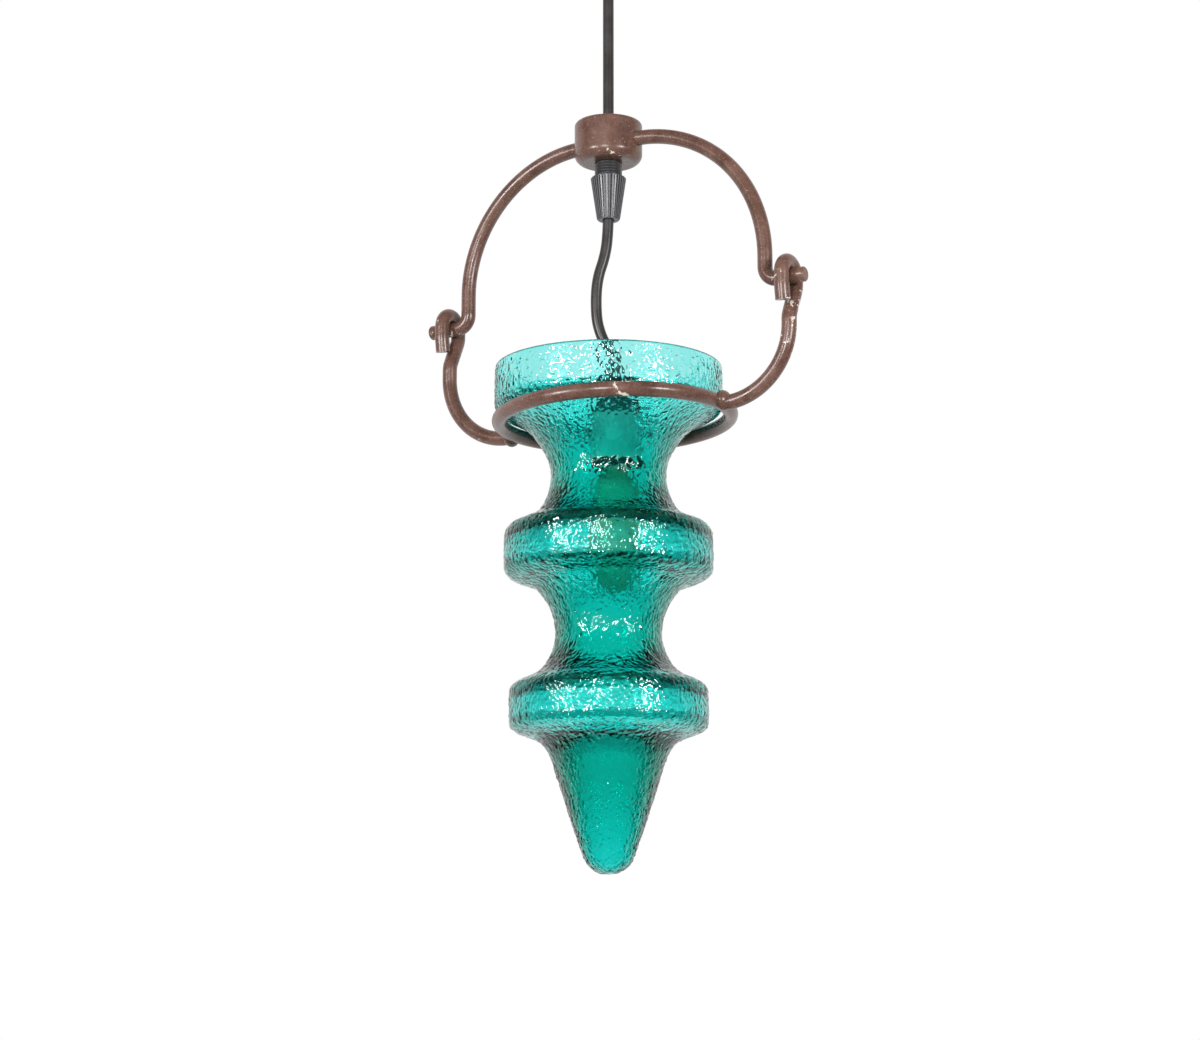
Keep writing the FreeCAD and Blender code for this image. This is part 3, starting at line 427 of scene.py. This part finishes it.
GLASS = glass_material()
PAINT = paint_material()
BLACK = plastic_material("black_plastic", (0.032, 0.032, 0.035), 0.34)
RIBBED = ribbed_material("grip_black", (0.035, 0.035, 0.038), 0.3)
RUBBER = plastic_material("black_rubber", (0.03, 0.03, 0.03), 0.7)
SHEATH = plastic_material("cord_sheath", (0.026, 0.023, 0.022), 0.36, 400.0, 0.2)
WHITE_COLOUR = (0.62, 0.61, 0.56)
WHITE = plastic_material("white_plastic", WHITE_COLOUR, 0.35)
BANDED = banded_material("holder_white", WHITE_COLOUR, 0.6)
ZINC = metal_material("zinc_steel", (0.36, 0.35, 0.33), 0.5)
BRASS = metal_material("brass", (0.75, 0.55, 0.25), 0.3, (1, 1, 5))
NICKEL = metal_material("nickel_shell", (0.72, 0.70, 0.66), 0.25, (1, 1, 5))
SOLDER = metal_material("solder", (0.5, 0.5, 0.5), 0.45)
CERAMIC = plastic_material("black_glass", (0.02, 0.02, 0.025), 0.12)
OPAL = bulb_material()

NODE_LOOKS = {
    "ceiling_plate": ZINC, "ceiling_cup": PAINT, "cup_screws": ZINC, "cup_nose": BLACK,
    "cord_ball": BLACK, "terminal_block": WHITE, "terminal_screws": BRASS, "supply_tail": SHEATH,
    "boss": PAINT, "yoke_rod_left": PAINT, "yoke_rod_right": PAINT, "grip_nipple": BLACK,
    "grip_olive": RUBBER, "grip_nut": RIBBED, "support_ring": PAINT, "cradle_arm_left": PAINT,
    "cradle_arm_right": PAINT, "arm_welds": PAINT, "holder_entry": BLACK, "holder_cap": BLACK,
    "holder_body": BANDED, "holder_shell": BRASS, "holder_contact": BRASS, "bulb_tip": SOLDER,
    "bulb_insulator": CERAMIC, "bulb_base": NICKEL, "bulb_glass": OPAL}


def dress(thing, look):
    """Give an object one material."""
    thing.data.materials.clear()
    thing.data.materials.append(look)


def dress_node(name, look):
    """Give a CAD node one material, in the slot that it already has."""
    for slot in node_object(name).material_slots:
        slot.material = look


for node_name, look in NODE_LOOKS.items():
    dress_node(node_name, look)
dress(lower_cord, SHEATH)
dress(upper_cord, SHEATH)

# ---- the glass ----
# The shade's two faces as (radius, height from the hinge line) in millimetres.
OUTSIDE = [
    [(61.1, -36.5), (61.1, -38.0), (61.1, -47.0), (61.1, -56.0)],
    [(61.1, -56.5), (60.2, -58.9), (57.4, -60.9), (52.0, -63.4), (46.2, -66.9),
     (41.2, -71.3), (37.2, -76.6), (34.0, -82.0), (31.8, -87.5), (30.7, -93.6),
     (31.0, -98.2), (32.0, -103.0), (33.3, -107.2), (35.4, -111.4), (38.6, -115.4),
     (43.0, -118.3), (49.0, -120.6), (53.0, -122.7), (55.0, -125.6), (55.5, -128.4)],
    [(55.5, -129.0), (55.5, -136.0), (55.5, -144.0)],
    [(55.5, -144.4), (54.7, -147.2), (51.4, -149.7), (46.0, -151.8), (41.0, -153.6),
     (37.6, -156.2), (35.2, -159.2), (33.2, -162.2), (31.3, -165.8), (29.2, -171.6),
     (28.1, -179.6), (28.6, -184.6), (29.8, -188.9), (31.4, -192.6), (33.2, -195.8),
     (35.6, -198.8), (38.8, -201.4), (42.8, -203.5), (47.3, -205.4), (50.6, -207.4),
     (52.1, -209.8), (52.4, -212.2)],
    [(52.4, -212.8), (52.4, -219.5), (52.4, -226.4)],
    [(52.4, -227.0), (51.6, -229.4), (49.2, -231.3), (44.9, -233.0), (39.8, -234.9),
     (36.2, -237.1), (33.8, -239.6), (31.9, -242.5), (30.1, -246.6), (28.4, -251.7),
     (26.7, -256.9), (25.1, -262.0), (23.4, -267.3), (21.7, -272.5), (20.0, -277.7),
     (18.3, -282.9), (16.5, -288.1), (14.7, -293.3), (13.3, -297.0), (11.4, -300.4),
     (8.6, -303.3), (4.8, -305.3), (0.0, -306.0)]]
INSIDE = [
    [(0.0, -303.4), (4.0, -302.4), (7.4, -299.2), (9.6, -293.8), (11.4, -286.0),
     (13.2, -278.0), (14.9, -269.6), (16.6, -260.6), (18.6, -252.0), (21.4, -244.6),
     (25.6, -239.0), (31.6, -234.9), (38.8, -232.0), (45.4, -229.4), (48.9, -226.2),
     (49.4, -223.4)],
    [(49.4, -222.6), (49.4, -219.0), (49.4, -215.4)],
    [(49.4, -214.6), (47.6, -210.2), (41.8, -206.6), (34.4, -203.0), (28.4, -198.6),
     (23.8, -193.0), (21.3, -187.0), (20.5, -181.0), (21.2, -175.0), (23.3, -168.6),
     (26.0, -162.6), (29.2, -157.2), (33.4, -152.4), (39.2, -149.0), (46.6, -146.8),
     (51.3, -144.4), (52.6, -141.2)],
    [(52.6, -140.4), (52.6, -136.6), (52.6, -132.8)],
    [(52.6, -132.0), (52.0, -128.7), (49.4, -125.6), (44.0, -122.8), (37.2, -119.4),
     (31.7, -115.2), (27.8, -110.0), (25.3, -104.6), (24.1, -99.2), (23.9, -94.0),
     (25.0, -88.4), (27.5, -82.4), (31.1, -76.4), (35.7, -70.8), (41.2, -66.0),
     (47.2, -62.2), (53.5, -59.0), (57.9, -56.8), (59.1, -54.4)],
    [(59.1, -53.8), (59.1, -46.0), (59.1, -38.0), (59.1, -36.1)]]
LIP = [(59.1, -36.1), (59.4, -35.4), (60.1, -35.1), (60.8, -35.4), (61.1, -36.1)]
OUTER_STEP = 0.6
INNER_STEP = 0.9
LIP_STEP = 0.35
TURN_STEPS = 640
CURVE_STEPS = 12
MM_PER_M = 1000
PEBBLE_HEIGHT = 0.34
PEBBLE_SIZE = 1.6
INNER_SHARE = 0.35  # how much of the pebbling shows on the inside
SMOOTH_LIP_HEIGHT = -36.0  # no pebbling above this, full pebbling a fade's depth below it
SMOOTH_LIP_FADE = 3.0
SMOOTH_TIP_RADIUS = 4.0  # the pebbling fades out within this radius at the tip


def curve_piece(before, first, last, after):
    """Points on a smooth curve from one point up to the next, shaped by their neighbours."""
    gap_before = np.linalg.norm(first - before) ** 0.5
    gap = np.linalg.norm(last - first) ** 0.5
    gap_after = np.linalg.norm(after - last) ** 0.5
    leaving = (last - first + gap * ((first - before) / gap_before
                                     - (last - before) / (gap_before + gap)))
    arriving = (last - first + gap * ((after - last) / gap_after
                                      - (after - first) / (gap + gap_after)))
    places = []
    for s in np.linspace(0, 1, CURVE_STEPS, endpoint=False):
        places.append((2 * s ** 3 - 3 * s ** 2 + 1) * first + (s ** 3 - 2 * s ** 2 + s) * leaving
                      + (-2 * s ** 3 + 3 * s ** 2) * last + (s ** 3 - s ** 2) * arriving)
    return places


def spline_points(points, step):
    """Evenly spaced points on a smooth curve through the given ones."""
    spots = np.array(points, float)
    padded = np.vstack([2 * spots[0] - spots[1], spots, 2 * spots[-1] - spots[-2]])
    fine = []
    for four in zip(padded, padded[1:], padded[2:], padded[3:]):
        fine += curve_piece(*four)
    fine.append(spots[-1])
    fine = np.array(fine)
    run = np.concatenate([[0], np.cumsum(np.linalg.norm(np.diff(fine, axis=0), axis=1))])
    count = max(int(round(run[-1] / step)), 2)
    at = np.linspace(0, run[-1], count + 1)
    return np.stack([np.interp(at, run, fine[:, 0]), np.interp(at, run, fine[:, 1])], 1)


def stitched(stretches, step):
    """The stretches one after another, without doubled points."""
    joined = []
    for stretch in stretches:
        for spot in spline_points(stretch, step):
            if not joined or np.linalg.norm(spot - joined[-1]) > step * 0.3:
                joined.append(spot)
    return np.array(joined)


NOISE_SEED = 7
LATTICE = 64
GRADIENTS = np.random.default_rng(NOISE_SEED).normal(size=(LATTICE, LATTICE, LATTICE, 3))
GRADIENTS = GRADIENTS.astype(np.float32)


def smooth_noise(places):
    """Gradient noise at an array of places, one cell to a unit."""
    base = np.floor(places).astype(int)
    inside = (places - base).astype(np.float32)
    fade = inside ** 3 * (inside * (inside * 6 - 15) + 10)
    total = np.zeros(len(places), np.float32)
    for corner in np.ndindex(2, 2, 2):
        cell = (base + corner) % LATTICE
        slope = GRADIENTS[cell[:, 0], cell[:, 1], cell[:, 2]]
        weight = np.prod(np.where(corner, fade, 1 - fade), axis=1)
        total += weight * np.sum(slope * (inside - np.array(corner, np.float32)), axis=1)
    return total


DRIFT_SIZE = PEBBLE_SIZE * 3.1
BROAD_SIZE = PEBBLE_SIZE * 2.3
BROAD_OFFSET = 17.3  # takes the broad dents from another part of the lattice
DRIFT_PULL = 0.35  # how far the drift bends the small pebbles' rows


def pebble(places):
    """Height of the mould's pebbling at places in millimetres, about -1 to 1."""
    drift = smooth_noise(places / DRIFT_SIZE)[:, None]
    small = smooth_noise(places / PEBBLE_SIZE + drift * DRIFT_PULL)
    broad = smooth_noise(places / BROAD_SIZE + BROAD_OFFSET)
    return 0.9 * small + 0.4 * broad + 0.4 * drift[:, 0]


def around_axis(radius, height, steps):
    """Points round Z on rings, from columns or grids of radii and heights."""
    angles = np.linspace(0, 2 * math.pi, steps, endpoint=False)
    heights = np.broadcast_to(height, (len(height), steps))
    return np.stack([radius * np.cos(angles), radius * np.sin(angles), heights], 2).reshape(-1, 3)


def lathe_mesh(name, profile, pushes, steps):
    """A closed skin of rings round Z between two points on the axis, pushed along its normals."""
    slopes = np.gradient(profile, axis=0)
    normals = np.stack([slopes[:, 1], -slopes[:, 0]], 1)
    normals /= np.linalg.norm(normals, axis=1)[:, None] + 1e-9
    rings = profile[1:-1]
    radius = rings[:, :1] + normals[1:-1, :1] * pushes
    height = rings[:, 1:] + normals[1:-1, 1:] * pushes
    ends = np.array([[0, 0, profile[0, 1]], [0, 0, profile[-1, 1]]])
    verts = np.vstack([around_axis(radius, height, steps), ends]) / MM_PER_M + np.array(HINGE)
    index = np.arange(len(rings) * steps).reshape(len(rings), steps)
    after = np.roll(index, -1, axis=1)
    quads = np.stack([index[:-1], after[:-1], after[1:], index[1:]], 2).reshape(-1, 4)
    first, last = len(verts) - 2, len(verts) - 1
    start = [(first, int(b), int(a)) for a, b in zip(index[0], after[0])]
    finish = [(last, int(a), int(b)) for a, b in zip(index[-1], after[-1])]
    data = bpy.data.meshes.new(name)
    data.from_pydata(verts.tolist(), [], quads.tolist() + start + finish)
    mesh = bmesh.new()
    mesh.from_mesh(data)
    bpy.data.meshes.remove(data)
    return mesh_object(name, mesh)


def make_glass():
    """The blown shade as one closed skin, with the mould's pebbling on its outside."""
    outer = stitched(OUTSIDE, OUTER_STEP)[::-1]
    inner = stitched(INSIDE, INNER_STEP)[::-1]
    lip = spline_points(LIP, LIP_STEP)[::-1]
    profile = np.vstack([outer, lip[1:-1], inner])
    steps = TURN_STEPS
    rings = profile[1:-1]
    places = around_axis(rings[:, :1], rings[:, 1:], steps)
    depth = pebble(places).reshape(len(rings), steps) * PEBBLE_HEIGHT
    near_lip = np.clip((SMOOTH_LIP_HEIGHT - rings[:, 1]) / SMOOTH_LIP_FADE, 0, 1)
    outside = np.where(np.arange(len(rings)) < len(outer) - 1, 1.0, INNER_SHARE)
    near_axis = np.clip(rings[:, 0] / SMOOTH_TIP_RADIUS, 0, 1)
    return lathe_mesh("shade", profile, depth * (near_lip * outside * near_axis)[:, None], steps)


shade = make_glass()
dress(shade, GLASS)
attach(shade, "glass")
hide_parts("glass_shade")

# ---- stage ----
# Grey levels as (place from 0 to 1, level): straight down to straight up for the sky, edge-on to
# head-on for the sides, behind the camera to ahead of it for the gloss.
SKY_BANDS = [(0.0, 0.25), (0.30, 0.35), (0.40, 0.95), (0.66, 1.0), (0.72, 0.30), (0.80, 0.05)]
SIDE_BANDS = [(0.0, 0.40), (0.34, 0.45), (0.66, 1.0)]
GLOSS_BANDS = [(0.0, 0.05), (0.50, 0.06), (0.66, 0.9), (1.0, 1.0)]
DIFFUSE_LEVEL = 0.55
FLOOR_Z = -1.35
FLOOR_HALF = 6.0
FLOOR_COLOUR = (0.85, 0.85, 0.85)
LAMP_MIDDLE = -0.13
BOX_DISTANCE = 1.6
BOX_RISE = math.radians(7.0)
SOFTBOXES = [("key_left", -50.0, 0.34, 0.38, 15.0), ("key_middle", -12.0, 0.26, 0.38, 12.0),
             ("key_right", 43.0, 0.34, 0.38, 15.0)]


def band_ramp(tree, source, bands):
    """A grey ramp over a value."""
    return ramp(tree, source, [(at, (level,) * 3) for at, level in bands]).outputs["Color"]


def make_floor():
    """A plain pale floor."""
    floor_mesh = bmesh.new()
    bmesh.ops.create_grid(floor_mesh, x_segments=1, y_segments=1, size=FLOOR_HALF)
    floor = mesh_object("floor", floor_mesh, smooth=False)
    floor.location = (0, 0, FLOOR_Z)
    made, tree, shader = material("floor_paint")
    shader.inputs["Base Color"].default_value = (*FLOOR_COLOUR, 1)
    shader.inputs["Roughness"].default_value = 0.8
    dress(floor, made)
    floor.visible_glossy = False


def make_surround():
    """A white studio whose ceiling and floor are darker to the glass and to its gloss."""
    world = bpy.data.worlds.new("surround")
    bpy.context.scene.world = world
    world.use_nodes = True
    tree = world.node_tree
    back = tree.nodes["Background"]
    back.inputs["Color"].default_value = (1, 1, 1, 1)
    place = tree.nodes.new("ShaderNodeTexCoord")
    split = tree.nodes.new("ShaderNodeSeparateXYZ")
    tree.links.new(place.outputs["Generated"], split.inputs["Vector"])
    rise = half_scale(tree, split.outputs["Z"])
    ahead = add(tree, "ShaderNodeVectorMath", operation="DOT_PRODUCT")
    tree.links.new(place.outputs["Generated"], ahead.inputs[0])
    ahead.inputs[1].default_value = VIEW_AWAY
    aside = add(tree, "ShaderNodeMath", operation="ABSOLUTE")
    tree.links.new(ahead.outputs["Value"], aside.inputs[0])
    sky = band_ramp(tree, rise, SKY_BANDS)
    sides = band_ramp(tree, aside.outputs[0], SIDE_BANDS)
    through = mix_colour(tree, sides, (0, 0, 0), sky)
    gloss = band_ramp(tree, half_scale(tree, ahead.outputs["Value"]), GLOSS_BANDS)
    path = tree.nodes.new("ShaderNodeLightPath")
    level = mix_colour(tree, path.outputs["Is Glossy Ray"], (DIFFUSE_LEVEL,) * 3, gloss)
    level = mix_colour(tree, path.outputs["Is Transmission Ray"], level, through)
    level = mix_colour(tree, path.outputs["Is Camera Ray"], level, (1, 1, 1))
    tree.links.new(level, back.inputs["Strength"])


def softbox(name, turn, width, tall, power):
    """A soft lamp on the camera's side, turned from the camera's direction by some degrees."""
    data = bpy.data.lights.new(name, "AREA")
    data.shape = "RECTANGLE"
    data.size = width
    data.size_y = tall
    data.energy = power
    light = bpy.data.objects.new(name, data)
    bpy.context.scene.collection.objects.link(light)
    turned = math.radians(turn)
    flat = BOX_DISTANCE * math.cos(BOX_RISE)
    light.location = view_point(flat * math.sin(turned), flat * math.cos(turned),
                                LAMP_MIDDLE + BOX_DISTANCE * math.sin(BOX_RISE))
    aim(light, view_point(0, 0, LAMP_MIDDLE))


make_floor()
make_surround()
for box in SOFTBOXES:
    softbox(*box)
bpy.context.scene.view_settings.view_transform = "Standard"
